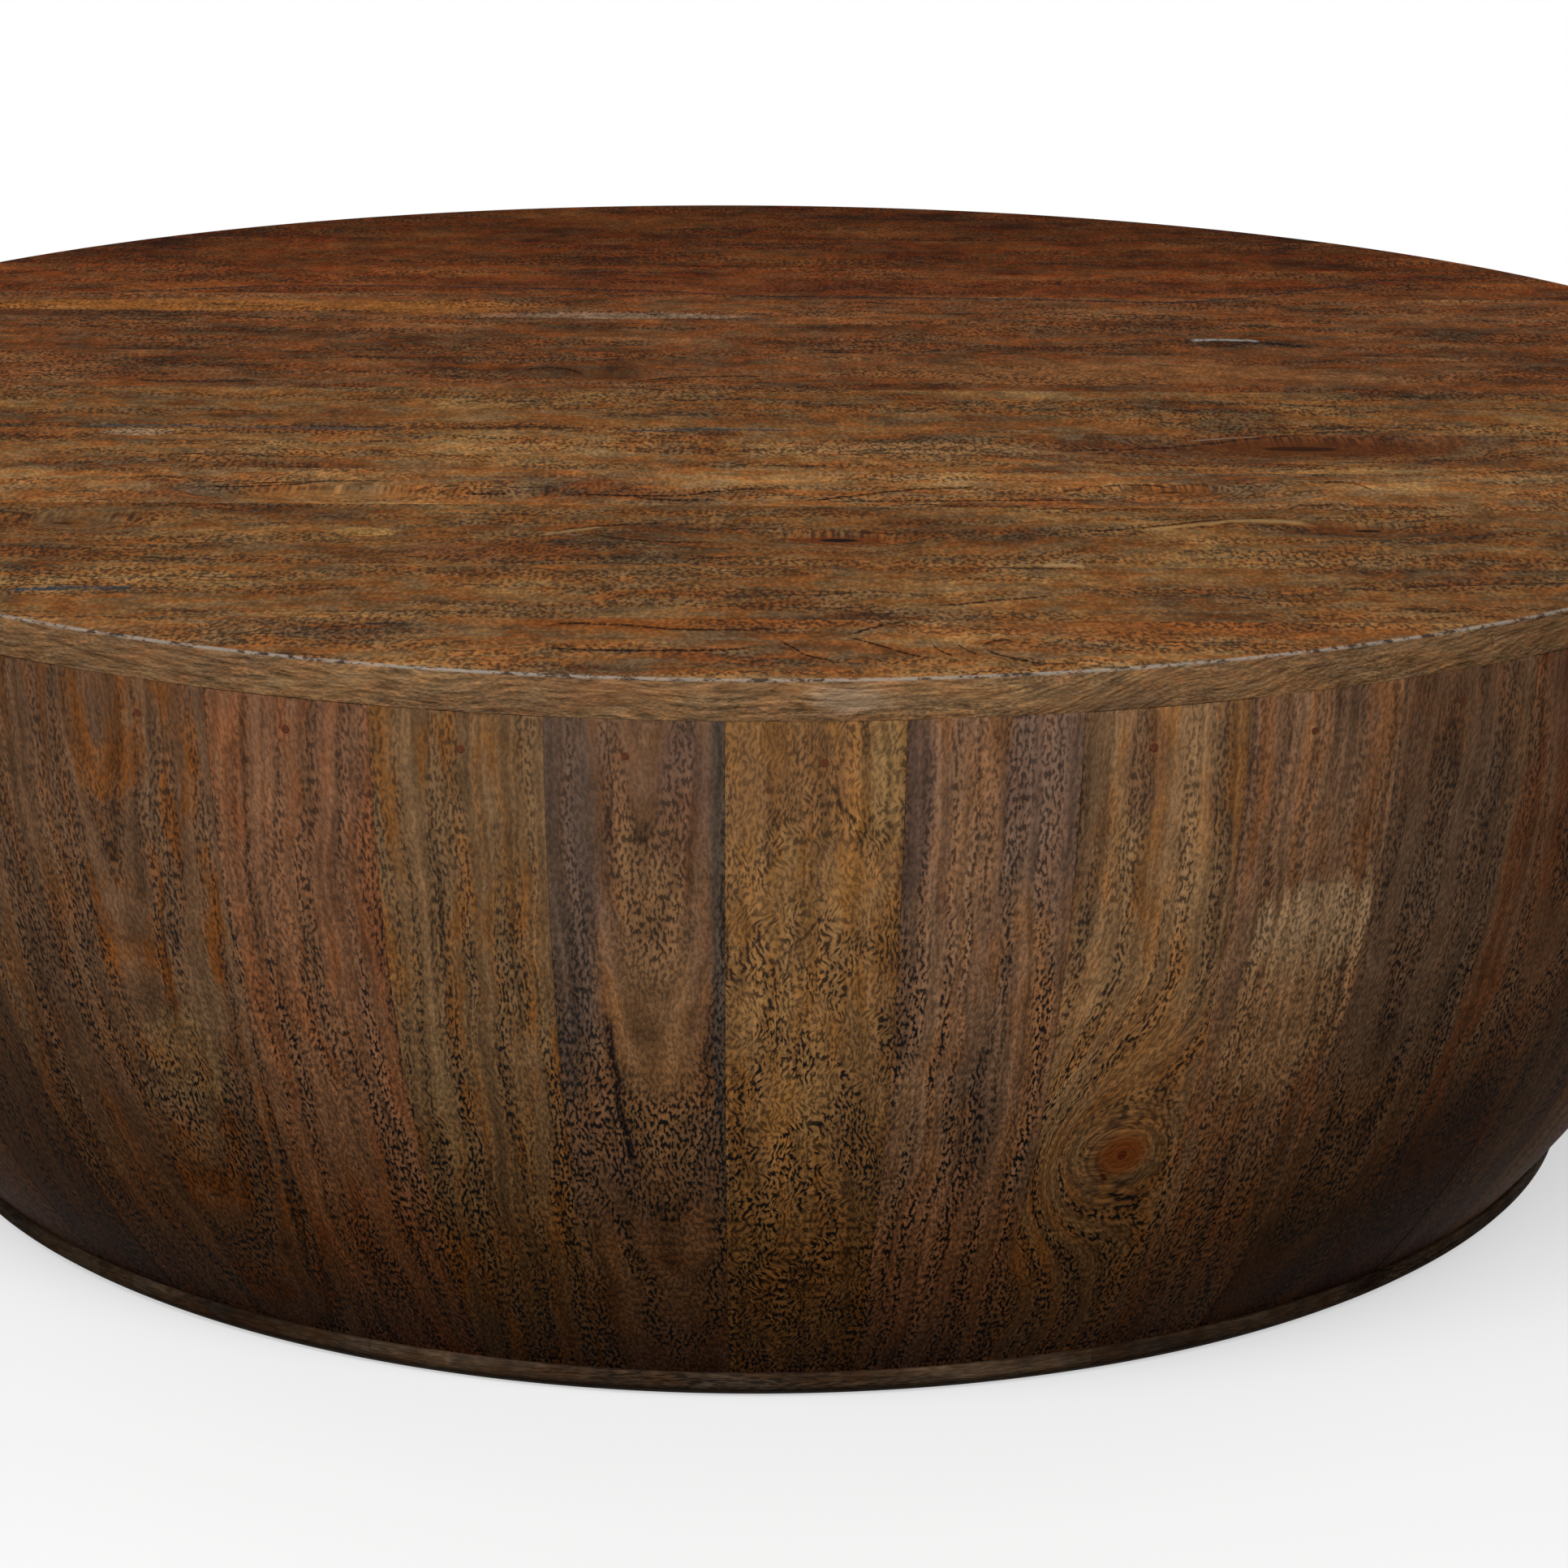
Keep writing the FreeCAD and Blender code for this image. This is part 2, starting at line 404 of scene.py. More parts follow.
# Splits, streaks and stains: tint, width and strength, then the places along and across the boards
SPLIT = "20140f"
TOP_STROKES = (
    ("2e2c30", 0.004, 0.85, (
        (-0.457, 0.25), (-0.408, 0.273), (-0.36, 0.286), (-0.262, 0.304), (-0.161, 0.301), (-0.06, 0.292),
        (0.02, 0.277), (0.09, 0.276), (0.189, 0.271), (0.239, 0.266), (0.289, 0.276), (0.316, 0.291),
        (0.364, 0.32), (0.436, 0.358), (0.48, 0.366))),
    ("4a4a4e", 0.0035, 0.85, ((-0.365, -0.104), (-0.314, -0.103), (-0.253, -0.107), (-0.183, -0.108))),
    ("3c4046", 0.0035, 0.9, ((-0.075, -0.111), (-0.044, -0.107), (-0.005, -0.105), (0.03, -0.107))),
    ("2c221e", 0.006, 0.9, ((-0.347, 0.018), (-0.314, 0.013), (-0.275, 0.016))),
    (SPLIT, 0.003, 0.9, ((-0.278, -0.248), (-0.244, -0.243), (-0.212, -0.23))),
    (SPLIT, 0.0022, 0.9, ((-0.278, -0.249), (-0.25, -0.238), (-0.18, -0.232))),
    ("1e1a1c", 0.004, 0.9, ((-0.146, -0.258), (-0.134, -0.26), (-0.122, -0.259))),
    ("1c1412", 0.0036, 0.9, (
        (-0.1, -0.26), (-0.07, -0.261), (-0.045, -0.262), (-0.017, -0.251), (0.016, -0.242))),
    ("1c1412", 0.005, 0.9, ((-0.06, -0.264), (-0.037, -0.271), (-0.016, -0.27))),
    (SPLIT, 0.0034, 0.9, ((0.024, -0.272), (0.049, -0.261), (0.074, -0.248), (0.12, -0.237))),
    (SPLIT, 0.0024, 0.9, ((0.03, -0.272), (0.08, -0.27), (0.19, -0.264))),
    (SPLIT, 0.0028, 0.9, ((0.16, -0.334), (0.195, -0.324), (0.224, -0.31), (0.262, -0.302))),
    ("c09a64", 0.006, 0.45, ((0.19, -0.33), (0.224, -0.317), (0.249, -0.308), (0.28, -0.322))),
    (SPLIT, 0.0026, 0.9, ((0.177, -0.24), (0.192, -0.231), (0.209, -0.234), (0.216, -0.246))),
    (SPLIT, 0.003, 0.85, ((0.292, -0.226), (0.305, -0.222), (0.314, -0.232), (0.318, -0.248))),
    ("1e1614", 0.0034, 0.85, ((0.158, -0.248), (0.164, -0.244), (0.171, -0.238))),
    ("c09a68", 0.006, 0.45, ((-0.102, -0.346), (-0.09, -0.338), (-0.072, -0.33))),
    (SPLIT, 0.003, 0.85, ((-0.1, -0.344), (-0.082, -0.331), (-0.04, -0.32))),
    (SPLIT, 0.0026, 0.9, ((-0.078, -0.343), (-0.051, -0.357), (-0.015, -0.36))),
    ("241a18", 0.003, 0.9, ((0.085, -0.481), (0.114, -0.47), (0.136, -0.462), (0.142, -0.455))),
    ("2c3a44", 0.0052, 0.95, ((-0.346, -0.462), (-0.33, -0.458), (-0.304, -0.456), (-0.285, -0.456))),
    ("241a18", 0.0024, 0.9, ((-0.44, -0.468), (-0.39, -0.464), (-0.34, -0.461))),
    ("c4a070", 0.006, 0.45, ((0.138, -0.404), (0.149, -0.402), (0.16, -0.404))),
    ("241c1c", 0.0085, 0.95, ((0.25, 0.146), (0.265, 0.148), (0.285, 0.147), (0.305, 0.139), (0.33, 0.128))),
    ("a6a49e", 0.0055, 0.95, ((0.257, 0.148), (0.265, 0.149), (0.285, 0.149), (0.3, 0.144))),
    ("2c2420", 0.0036, 0.9, ((0.15, 0.118), (0.199, 0.124), (0.224, 0.119))),
    (SPLIT, 0.0036, 0.9, ((-0.13, 0.05), (-0.112, 0.056), (-0.098, 0.044), (-0.094, 0.028))),
    (SPLIT, 0.0032, 0.9, ((-0.072, 0.004), (-0.055, 0.026), (-0.03, 0.034), (0.01, 0.036))),
    ("241a18", 0.0032, 0.9, ((0.16, -0.152), (0.21, -0.146), (0.246, -0.132), (0.268, -0.12), (0.3, -0.108))),
    ("a08c78", 0.0026, 0.6, ((0.232, -0.128), (0.251, -0.121), (0.272, -0.116))),
    (SPLIT, 0.004, 0.9, (
        (-0.098, -0.54), (-0.081, -0.516), (-0.061, -0.518), (-0.029, -0.526), (0.018, -0.523))),
    (SPLIT, 0.0034, 0.9, (
        (-0.098, -0.542), (-0.086, -0.56), (-0.06, -0.563), (-0.007, -0.559), (0.008, -0.54))),
    (SPLIT, 0.0034, 0.9, ((0.012, -0.54), (0.02, -0.558), (0.026, -0.57), (0.036, -0.577))),
    (SPLIT, 0.0038, 0.9, ((0.043, -0.535), (0.055, -0.521), (0.07, -0.511))),
    (SPLIT, 0.0034, 0.9, ((0.043, -0.537), (0.058, -0.552), (0.07, -0.566), (0.082, -0.574))),
    (SPLIT, 0.003, 0.9, ((0.081, -0.546), (0.084, -0.558), (0.09, -0.568))),
    (SPLIT, 0.003, 0.9, ((0.092, -0.544), (0.095, -0.556), (0.101, -0.567))),
    (SPLIT, 0.0032, 0.9, ((0.103, -0.553), (0.108, -0.545), (0.118, -0.54))),
    (SPLIT, 0.0032, 0.9, ((0.103, -0.555), (0.114, -0.57), (0.132, -0.583))),
)
TOP_PATCHES_AND_SHEEN = (
    # The first is no stain: a pale grey streak across the back half of the top, a painted reflection of the
    # light.
    blot(0.2125, -0.079, 0.01, 0.085, "a08a74", 0.42),
    blot(0.235, -0.19, 0.022, 0.06, "a86c34", 0.5),
    blot(0.212, -0.4, 0.012, 0.1, "3c2418", 0.6),
    blot(-0.119, -0.327, 0.01, 0.018, "a08468", 0.6),
    blot(-0.342, -0.19, 0.01, 0.02, "b08850", 0.6),
    blot(-0.38, -0.125, 0.02, 0.05, "7c4222", 0.5),
    blot(-0.516, -0.035, 0.012, 0.11, "84491f", 0.6),
    blot(-0.52, 0.2, 0.014, 0.12, "84491f", 0.6),
    blot(-0.15, 0.1, 0.016, 0.1, "a07a50", 0.45),
    blot(-0.148, 0.19, 0.012, 0.05, "6a3a20", 0.6),
    blot(0.31, 0.05, 0.03, 0.35, "5a2c18", 0.5),
    blot(0.24, -0.33, 0.02, 0.16, "a86a30", 0.6),
    blot(-0.13, 0.31, 0.03, 0.09, "643620", 0.4),
    blot(0.05, 0.2, 0.035, 0.16, "946238", 0.55),
)
BOARD_STAINS = {
    "golden": "5a3a24 835932 a07646 8c4e22 6e5e46",
    "brown": "4c2e1c 784a2b 96643c 8a4a20 66523a",
    "russet": "482414 74401f 8e562c 7e3816 5c422c",
}
# Stain and tone of each board, from the front. Darker towards the back: partly the boards' own tones, partly
# painted shade where the light falls off.
BOARDS = (
    ("golden", 0.93), ("golden", 0.83), ("golden", 0.81), ("golden", 1.2), ("golden", 1.05),
    ("golden", 0.98), ("brown", 0.99), ("brown", 0.99), ("brown", 1.14), ("russet", 1.23),
    ("russet", 0.88), ("russet", 0.74),
)
# How far in from the rim its face sets in, and how far in and down its upper arris is painted pale, as wear
# and as a painted highlight
RIM_FACE = (0.0012, 0.0002)
HIGHLIGHT_AND_WEAR_IN = (0.0022, 0.0012)
HIGHLIGHT_AND_WEAR_DOWN = (0.0016, 0.0008)
TOP_FLAMES = (
    blot(0.243, -0.2, 0.022, 0.07, "7a4a24", 0.6),
    blot(0.262, -0.38, 0.02, 0.07, "4a2c1a", 0.5),
)


def near(marks, front, back, margin):
    """The marks that lie between the two seams of a board, or within a margin of them."""
    return [mark for mark in marks if front - margin < mark["at"][0] < back + margin]


def board_wood(number, front, back):
    """Material of one board: grain and marks of its own, and wear and a painted highlight along the rim's
    upper arris.
    """
    chance = random.Random(100 + number)
    look = dict(BROWN, seed=chance.uniform(-20, 20), slope=chance.uniform(1.4, 2.6))
    stain, look["tone"] = BOARDS[number - 1]
    look.update(stain_tones(BOARD_STAINS[stain]))
    look["knots"] = near(TOP_KNOTS, front, back, 0.008)
    look["patches"] = near(TOP_PATCHES_AND_SHEEN, front, back, 0.02)
    look["flames"] = near(TOP_FLAMES, front, back, 0.01)
    look["strokes"] = [
        stroke for stroke in TOP_STROKES
        if min(y for x, y in stroke[3]) < back + 0.004 and max(y for x, y in stroke[3]) > front - 0.004
    ]
    material = new_material("board_wood_%02d" % number)
    x, y, z = place_on_object()
    colour, relief = figured_wood(y, z, x, look)
    radius = (x * x + y * y) ** 0.5
    edge_face = radius.step(TOP_RADIUS - RIM_FACE[0], TOP_RADIUS - RIM_FACE[1])
    round_rim = x.maths("ARCTAN2", -y) * TOP_RADIUS
    sway = noise(round_rim * 13.0, z * 30.0, float(number)) - 0.5
    lean = sway * 0.018 - round_rim.step(0.1, 0.2) * round_rim * 0.16
    strand = noise(round_rim * 60.0, (z + lean) * 520.0, 0.0, 2.5, 0.65)
    colour = mix(colour, tint("86694c"), edge_face * 0.5)
    scraped = hill(round_rim, z, (0.043, 0.395), (0.024, 0.009)) * edge_face
    colour = mix(colour, tint("a68e74"), (scraped + (strand - 0.5) * 0.8).step(0.4, 0.9) * 0.5)
    colour = shade(colour, 1.0 + edge_face * ((strand - 0.5) * 3.0 - 0.02))
    painted_light_and_wear = radius.step(TOP_RADIUS - HIGHLIGHT_AND_WEAR_IN[0], TOP_RADIUS - HIGHLIGHT_AND_WEAR_IN[1])
    painted_light_and_wear = painted_light_and_wear * z.step(TOP_HIGH.z - HIGHLIGHT_AND_WEAR_DOWN[0], TOP_HIGH.z - HIGHLIGHT_AND_WEAR_DOWN[1])
    arris_noise = noise(x * 120.0, y * 120.0, z * 240.0, 3.0, 0.8)
    # Pale grey along the upper arris: partly wear, partly a painted highlight. The dark specks are wear.
    colour = mix(colour, tint("928a80"), painted_light_and_wear * arris_noise.step(0.36, 0.56) * 0.7)
    colour = mix(colour, tint("23272d"), painted_light_and_wear * arris_noise.step(0.52, 0.38) * 0.8)
    finish_material(satin(colour, relief))
    return material


edges = [-TOP_RADIUS] + [share * TOP_RADIUS for share in BOARD_SEAM_SHARES] + [TOP_RADIUS]
for number, (front, back) in enumerate(zip(edges, edges[1:]), 1):
    sweep = math.asin(back / TOP_RADIUS) - math.asin(front / TOP_RADIUS)
    steps = max(6, round(sweep / RIM_STEP))
    near_edge = front + BOARD_GAP if number > 1 else front
    far_edge = back - BOARD_GAP if number < len(BOARDS) else back
    loops = []
    for height, inset in rim_levels():
        outline = board_outline(near_edge, far_edge, TOP_RADIUS - inset, steps)
        loops.append([(x, y, height) for x, y in outline])
    board = loft("board_%02d" % number, loops)
    board.data.materials.append(board_wood(number, front, back))
    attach(board, "root")
    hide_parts("top_boards")


# Staves: forty-eight upright planks sawn to one curve, mitred and glued edge to edge, then sanded
# round outside. Each comes from another plank, so tone and figure change at every seam.
STAVES = 48
STAVE_PITCH = math.radians(360 / STAVES)
FIRST_SEAM = math.radians(-1.0)
STAVE_THICKNESS = 0.019
STAVE_TOP = TOP_LOW.z
STAVE_TOP_RADIUS = 0.6099
STAVE_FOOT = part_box("foot_band")[1].z
STAVE_FOOT_RADIUS = 0.4637
STAVE_BULGE = 0.0318
REBATE_RADIUS = 0.4547
SEAM_EASE = 0.0002
SEAM_GAP = 0.00003
STAVE_SET_OUT = (-0.00025, 0.00015)

run = STAVE_TOP_RADIUS - STAVE_FOOT_RADIUS
rise = STAVE_TOP - STAVE_FOOT
chord = math.hypot(run, rise)
CURVE = chord**2 / (8 * STAVE_BULGE) + STAVE_BULGE / 2
CURVE_RADIUS = (STAVE_TOP_RADIUS + STAVE_FOOT_RADIUS) / 2 - (CURVE - STAVE_BULGE) * rise / chord
CURVE_HEIGHT = (STAVE_TOP + STAVE_FOOT) / 2 + (CURVE - STAVE_BULGE) * run / chord
FLOAT, MATERIAL = "NodeSocketFloat", "NodeSocketMaterial"


def open_tree(name, inputs):
    """New geometry tree with named inputs, and its inputs by name."""
    tree = bpy.data.node_groups.new(name, "GeometryNodeTree")
    tree.interface.new_socket("Geometry", in_out="OUTPUT", socket_type="NodeSocketGeometry")
    tree.interface.new_socket("Geometry", in_out="INPUT", socket_type="NodeSocketGeometry")
    for label, (kind, value) in inputs.items():
        socket = tree.interface.new_socket(label, in_out="INPUT", socket_type=kind)
        if value is not None:
            socket.default_value = value
    Socket.tree = tree
    source = tree.nodes.new("NodeGroupInput")
    return tree, {label: Socket(source.outputs[label]) for label in ["Geometry", *inputs]}


def close_tree(tree, geometry):
    end = tree.nodes.new("NodeGroupOutput")
    tree.links.new(geometry.link, end.inputs["Geometry"])


def keep(geometry, name, value, selection=True):
    """Stores a vector on every point, for the material or for a later node."""
    values = {"Geometry": geometry, "Name": name, "Value": value, "Selection": selection}
    return Socket.node("GeometryNodeStoreNamedAttribute", values, data_type="FLOAT_VECTOR", domain="POINT")


def kept(name):
    return Socket.node("GeometryNodeInputNamedAttribute", {"Name": name}, data_type="FLOAT_VECTOR").apart()


def round_point(radius, turn, height):
    return point(radius * turn.maths("SINE"), -(radius * turn.maths("COSINE")), height)


def stave_tree():
    """Tree of a stave: a grid bent to the shell's curve, rebated at its foot and given its thickness."""
    inputs = {
        "Azimuth": (FLOAT, 0.0),
        "Pitch": (FLOAT, STAVE_PITCH),
        "Gap": (FLOAT, SEAM_GAP),
        "Ease": (FLOAT, SEAM_EASE),
        "Set Out": (FLOAT, 0.0),
        "Thickness": (FLOAT, STAVE_THICKNESS),
        "Foot": (FLOAT, STAVE_FOOT),
        "Top": (FLOAT, STAVE_TOP),
        "Curve": (FLOAT, CURVE),
        "Curve Radius": (FLOAT, CURVE_RADIUS),
        "Curve Height": (FLOAT, CURVE_HEIGHT),
        "Rebate Radius": (FLOAT, REBATE_RADIUS),
        "Wood": (MATERIAL, None),
    }
    tree, take = open_tree("stave", inputs)
    columns, rows = 15, 52
    values = {"Size X": 1.0, "Size Y": 1.0, "Vertices X": columns, "Vertices Y": rows}
    grid = Socket.node("GeometryNodeMeshGrid", values)
    u, v, _ = Socket.node("GeometryNodeInputPosition").apart()
    column = (u + 0.5) * (columns - 1)
    row = (v + 0.5) * (rows - 1)
    spread = (column - 1.0) / (columns - 3)
    held = spread.maths("MAXIMUM", 0.0).maths("MINIMUM", 1.0)
    eased = (spread - held) * (columns - 3)
    level = ((row - 2.0) / (rows - 3)).maths("MAXIMUM", 0.0)
    in_rebate = row.maths("LESS_THAN", 1.5)
    height = (take["Foot"] + (take["Top"] - take["Foot"]) * level) * row.maths("GREATER_THAN", 0.5)
    drop = take["Curve Height"] - height
    outer = take["Curve Radius"] + (take["Curve"] ** 2.0 - drop ** 2.0) ** 0.5
    outer = outer + take["Set Out"] - abs(eased) * take["Ease"]
    outer = outer * (1.0 - in_rebate) + take["Rebate Radius"] * in_rebate
    half = outer * take["Pitch"] * 0.5 - take["Gap"]
    across = (held * 2.0 - 1.0) * (half - take["Ease"]) + eased * take["Ease"]
    turn = take["Azimuth"] + across / outer
    along = -((drop / take["Curve"]).maths("ARCSINE") * take["Curve"])

    face = keep(grid, "plank", point(across, 0.0, along))
    face = keep(face, "place", point(turn, height, 0.0))
    values = {"Geometry": face, "Position": round_point(outer, turn, height)}
    face = Socket.node("GeometryNodeSetPosition", values)
    values = {"Mesh": face, "Offset Scale": 0.0, "Individual": False}
    walls = Socket.node("GeometryNodeExtrudeMesh", values, mode="FACES")
    behind = Socket(walls.link.node.outputs["Top"])
    turn_in, height_in, _ = kept("place")
    drop_in = take["Curve Height"] - height_in
    inner = take["Curve Radius"] + ((take["Curve"] - take["Thickness"]) ** 2.0 - drop_in ** 2.0) ** 0.5
    values = {"Geometry": walls, "Selection": behind, "Position": round_point(inner, turn_in, height_in)}
    solid = Socket.node("GeometryNodeSetPosition", values)
    plank_across, _, plank_along = kept("plank")
    solid = keep(solid, "plank", point(plank_across, take["Thickness"], plank_along), behind)
    front = Socket.node("GeometryNodeFlipFaces", {"Mesh": face})
    joined = Socket.node("GeometryNodeJoinGeometry", {0: solid})
    tree.links.new(front.link, joined.link.node.inputs[0])
    merged = Socket.node("GeometryNodeMergeByDistance", {"Geometry": joined, "Distance": 0.000001})
    whole = Socket.node("GeometryNodeRealizeInstances", {0: merged})
    close_tree(tree, Socket.node("GeometryNodeSetMaterial", {"Geometry": whole, "Material": take["Wood"]}))
    return tree


def grow(tree, jobs):
    """Plain mesh objects, one for each (name, base mesh, inputs) given to a geometry tree."""
    sockets = {item.name: item.identifier for item in tree.interface.items_tree if item.in_out == "INPUT"}
    carriers = []
    for name, base, inputs in jobs:
        carrier = add("carrier", base)
        modifier = carrier.modifiers.new("tree", "NODES")
        modifier.node_group = tree
        for label, value in inputs.items():
            modifier[sockets[label]] = value
        carriers.append(carrier)
    bpy.context.view_layer.update()
    graph = bpy.context.evaluated_depsgraph_get()
    grown = []
    for carrier, (name, base, inputs) in zip(carriers, jobs):
        mesh = bpy.data.meshes.new_from_object(carrier.evaluated_get(graph), depsgraph=graph)
        mesh.name = name
        mesh.shade_smooth()
        mesh.set_sharp_from_angle(angle=math.radians(30))
        grown.append(mesh)
    pieces = []
    for carrier, mesh, (name, base, inputs) in zip(carriers, grown, jobs):
        carrier.modifiers.clear()
        bpy.data.objects.remove(carrier)
        pieces.append(add(name, mesh))
    return pieces


def length_at(height):
    """Place along a stave of a height above the floor."""
    return -CURVE * math.asin((CURVE_HEIGHT - height) / CURVE)


STAVE_BROWN = dict(
    BROWN, sweep=3.0, bend=0.03, curl=0.01, ripple=0.0022,
    zones=30.0, zone_run=4.0, zoning=0.5, warmth=0.5, greyness=0.12,
    clouds=1.0, cloud_run=50.0, lines=1.6, line_run=4.0, grit=0.15,
    dashes=700.0, dash_run=280.0, pores=1.15, fibres=0.42,
    crowds=115.0, crowd_run=6.0, crowding=0.68, veins=0.35, vein_run=50.0, pore=tint("221e1c"),
)
STAINS = {
    "honey": "7a5232 9c6c3e ae804c a4662a 806a4c",
    "umber": "50382a 7f583b 96704c 8a5024 665640",
    "chestnut": "5a3828 85583a 9c704a 8e4c24 6c5740",
    "tan": "6a4830 916842 ae8656 9c602c 78644a",
    "walnut": "3e2c22 6a4a34 846246 724222 584a3a",
    "ash": "4c3a2e 825b3f 94704b 8c562a 665844",
}
# Red, green and blue from the foot up, as (share of the stave's length, factor): darker towards the foot,
# as painted shade with some dirt, warm brown above it, paler at the belly, greyer at the head as a painted
# sheen. One level lifts all three.
STAVE_SHADE_SHEEN_AND_WEAR = (
    ((0.0, 0.352), (0.12, 0.4), (0.26, 0.49), (0.42, 0.535), (0.6, 0.555), (0.8, 0.483), (1.0, 0.425)),
    ((0.0, 0.345), (0.12, 0.378), (0.26, 0.443), (0.42, 0.545), (0.6, 0.6), (0.8, 0.533), (1.0, 0.468)),
    ((0.0, 0.45), (0.12, 0.372), (0.26, 0.37), (0.42, 0.538), (0.6, 0.645), (0.8, 0.6), (1.0, 0.535)),
)
SHADE_SHEEN_AND_WEAR_LEVEL = 2.16
# How strongly pores and fibres show at the foot, and how much of that is lost by the head
PORES_AT_FOOT, PORES_LOST = 1.4, 0.9
FIBRES_AT_FOOT, FIBRES_LOST = 1.7, 1.3


def stave_mark(number, azimuth, height):
    """Place in the plank of a stave of an azimuth in degrees and a height in metres."""
    radius = CURVE_RADIUS + math.sqrt(CURVE**2 - (CURVE_HEIGHT - height) ** 2)
    turn = math.radians(azimuth) - FIRST_SEAM - (number - 0.5) * STAVE_PITCH
    return (radius * math.remainder(turn, 2 * math.pi), length_at(height))


def stave_stroke(number, code, width, strength, *places):
    """Line on a stave through (azimuth, height) places, from the lowest up."""
    marks = [stave_mark(number, *place) for place in places]
    return (code, width, strength, [(along, across) for across, along in marks])


STAVE_LOOKS = {
    43: {"stain": "walnut"},
    44: {"stain": "umber", "pith": (0.05, -0.1, 0.1), "tone": 1.0},
    45: {"stain": "umber", "warmth": 1.0, "pith": (-0.02, -0.06, 0.16), "tone": 0.98,
         "patches": [blot(-0.003, length_at(0.19), 0.022, 0.034, "a07a4c", 0.41)],
         "flames": [blot(0.0, length_at(0.19), 0.02, 0.03, "4a3424", 0.38)]},
    46: {"stain": "chestnut", "pith": (0.09, -0.3, 0.05), "tone": 1.08, "zoning": 0.3},
    47: {"stain": "tan", "warmth": 0.8, "pith": (-0.08, -0.2, 0.05), "tone": 0.8, "zoning": 0.35},
    48: {"stain": "ash", "pith": (0.004, 0.04, 0.12), "tone": 0.98, "pores": 1.1, "veins": 0.5,
         "flames": [blot(0.0, length_at(0.1), 0.036, 0.04, "2e2019", 0.35)],
         "patches": [
             blot(-0.034, -0.1, 0.018, 0.14, "54453a", 0.6),
             blot(-0.018, length_at(0.33), 0.01, 0.05, "4e3c34", 0.3),
             blot(0.041, -0.12, 0.009, 0.3, "4a4136", 0.75),
             blot(0.006, length_at(0.24), 0.02, 0.12, "8e6238", 0.45),
             blot(0.022, length_at(0.35), 0.016, 0.04, "60443a", 0.38),
         ],
         "strokes": [
             stave_stroke(48, "34302c", 0.0075, 0.4, (-7.9, 0.19), (-8.0, 0.215), (-7.5, 0.25)),
             stave_stroke(48, "171416", 0.0034, 0.95,
                          (-5.3, 0.15), (-5.5, 0.163), (-5.9, 0.19), (-5.95, 0.2), (-6.3, 0.245)),
         ]},
    1: {"stain": "honey", "pores": 1.15, "pith": (0.07, -0.1, 0.04), "tone": 0.96,
        "curl": 0.016, "ripple": 0.007, "crowding": 0.45, "crowds": 70.0, "crowd_run": 25.0,
        "flames": [blot(0.005, length_at(0.085), 0.036, 0.045, "2e1e14", 0.65)],
        "patches": [
            blot(0.034, length_at(0.36), 0.012, 0.035, "aa8450", 0.3),
            blot(-0.01, length_at(0.36), 0.03, 0.03, "8e5e38", 0.38),
        ],
        "strokes": [
            stave_stroke(1, "2c221e", 0.0022, 0.7, (4.6, 0.335), (4.3, 0.34), (3.9, 0.345), (3.4, 0.357)),
            stave_stroke(1, "2c221e", 0.0018, 0.6, (-0.2, 0.27), (0.4, 0.28), (0.9, 0.287), (1.3, 0.297)),
            stave_stroke(1, "2c221e", 0.0018, 0.6, (0.8, 0.262), (1.5, 0.272), (2.2, 0.28), (3.2, 0.294)),
        ]},
    2: {"stain": "ash", "pith": (0.075, -0.25, 0.06), "tone": 1.2, "pores": 1.2,
        "patches": [
            blot(0.0, length_at(0.09), 0.05, 0.07, "a06a48", 0.45),
            blot(-0.037, length_at(0.345), 0.01, 0.06, "4a3830", 0.6),
            blot(0.026, length_at(0.345), 0.026, 0.06, "6e5648", 0.45),
            blot(-0.008, length_at(0.33), 0.012, 0.06, "9a6c46", 0.38),
        ]},
    3: {"stain": "tan", "pores": 1.1, "warmth": 0.6, "pith": (-0.06, -0.2, 0.05), "tone": 1.22,
        "knots": [knot_mark((0.008, length_at(0.15)), (0.023, 0.031), 0.0, (0.014, 0.015), "944c20", 0.85,
                            (0.0028, 0.0032), "6a3018", whorl=1.0)],
        "patches": [
            blot(-0.034, length_at(0.33), 0.01, 0.08, "4c3626", 0.52),
            blot(-0.01, length_at(0.36), 0.012, 0.03, "6a4430", 0.45),
            blot(0.006, length_at(0.19), 0.026, 0.07, "9a6230", 0.45),
        ]},
    4: {"stain": "umber", "pith": (0.06, -0.1, 0.06), "tone": 1.34, "crowding": 0.45, "pores": 0.9,
        "patches": [
            blot(0.008, length_at(0.265), 0.034, 0.03, "a8825a", 0.6),
            blot(0.0, length_at(0.215), 0.034, 0.05, "986c44", 0.6),
        ]},
    5: {"stain": "umber", "pith": (-0.01, -0.1, 0.12), "tone": 0.98, "warmth": 0.3,
        # The first patch, dark at the foot, is painted shade on the right side, where the light falls off.
        "patches": [blot(0.0, length_at(0.06), 0.05, 0.05, "2e211a", 0.38),
                    blot(0.0, length_at(0.26), 0.05, 0.1, "5e4c3c", 0.35)]},
    6: {"stain": "chestnut", "tone": 0.9,
        # The dark patch at the foot is painted shade on the right side, where the light falls off.
        "patches": [blot(0.0, length_at(0.07), 0.05, 0.11, "2a1f1a", 0.6)]},
    7: {"stain": "walnut"},
}


